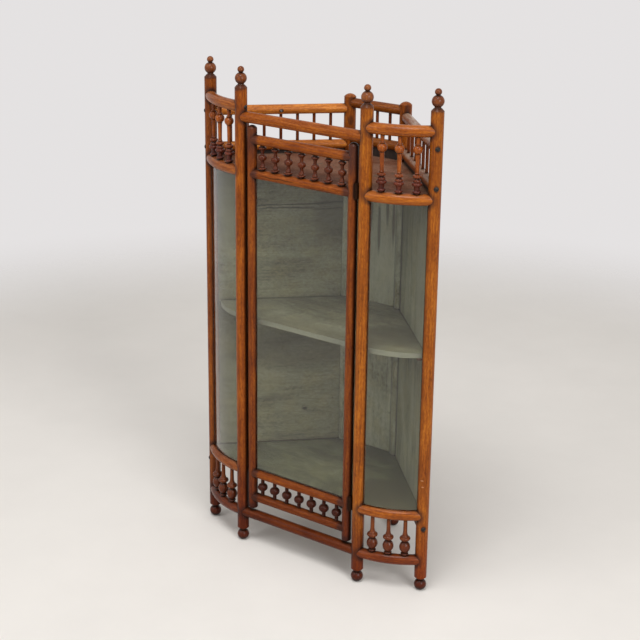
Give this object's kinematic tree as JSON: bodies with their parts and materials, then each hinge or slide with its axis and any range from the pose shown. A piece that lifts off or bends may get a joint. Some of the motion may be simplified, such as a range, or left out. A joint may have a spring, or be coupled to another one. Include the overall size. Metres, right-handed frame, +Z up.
{
  "type": "corner wall cabinet",
  "caption": "Corner wall cabinet of turned sticks with bent glass sides, a glazed door, turned galleries, ball finials and ball feet.",
  "frame": {"origin": "on the floor, in the middle of the width and of the depth", "axes": "+Z up, +X to the right seen from the front, +Y to the back, towards the corner of the room"},
  "size_m": [0.5086, 0.2488, 0.914],
  "materials": {
    "oak": "old orange-brown varnish, worn, dark in the joints",
    "oak_turned": "old red-brown varnish on turned pieces",
    "painted_board": "flat grey-green paint, scuffed and streaked",
    "bare_board": "dull dusty brown stain",
    "glass": "clear, slightly wavy",
    "iron": "blackened dome heads",
    "hinge_metal": "tarnished",
    "spring_steel": "dull"
  },
  "bodies": {
    "case": {"back_bottom_rail": "oak", "back_gallery_rail": "oak", "back_panel": "painted_board", "back_post_left": "oak", "back_post_right": "oak", "back_spindles": "oak_turned", "back_top_rail": "oak", "ball_feet": "oak_turned", "base_spindles_left": "oak_turned", "base_spindles_right": "oak_turned", "board_cleats": "bare_board", "bottom_board": "painted_board", "catch_clip": "spring_steel", "front_bottom_rail": "oak", "front_post_left": "oak", "front_post_right": "oak", "front_top_rail": "oak", "gallery_spindles_left": "oak_turned", "gallery_spindles_right": "oak_turned", "hinge_pins": "hinge_metal", "hinge_post_leaves": "hinge_metal", "hinge_post_screws": "hinge_metal", "post_finials": "oak_turned", "post_screws": "iron", "roof_board": "bare_board", "shelf": "painted_board", "side_bottom_rail_left": "oak", "side_bottom_rail_right": "oak", "side_gallery_rail_left": "oak", "side_gallery_rail_right": "oak", "side_glass_left": "glass", "side_glass_right": "glass", "side_post_left": "oak", "side_post_right": "oak", "side_sill_rail_left": "oak", "side_sill_rail_right": "oak", "side_top_rail_left": "oak", "side_top_rail_right": "oak", "wall_bottom_rail_left": "oak", "wall_bottom_rail_right": "oak", "wall_gallery_rail_left": "oak", "wall_gallery_rail_right": "oak", "wall_panel_left": "painted_board", "wall_panel_right": "painted_board", "wall_spindles": "oak_turned", "wall_top_rail_left": "oak", "wall_top_rail_right": "oak"},
    "door": {"catch_stud": "spring_steel", "door_balls": "oak_turned", "door_bobbins": "oak_turned", "door_bottom_rail": "oak", "door_glass": "glass", "door_lower_rail": "oak", "door_stile_left": "oak", "door_stile_right": "oak", "door_top_rail": "oak", "door_upper_rail": "oak", "hinge_stile_leaves": "hinge_metal", "hinge_stile_screws": "hinge_metal"}
  },
  "joints": [
    {"name": "door_hinge", "type": "hinge", "parent": "case", "child": "door", "pos_m": [0.12083, -0.12027, 0], "axis": [0, 0, 1], "range_deg": [0, 140]}
  ]
}
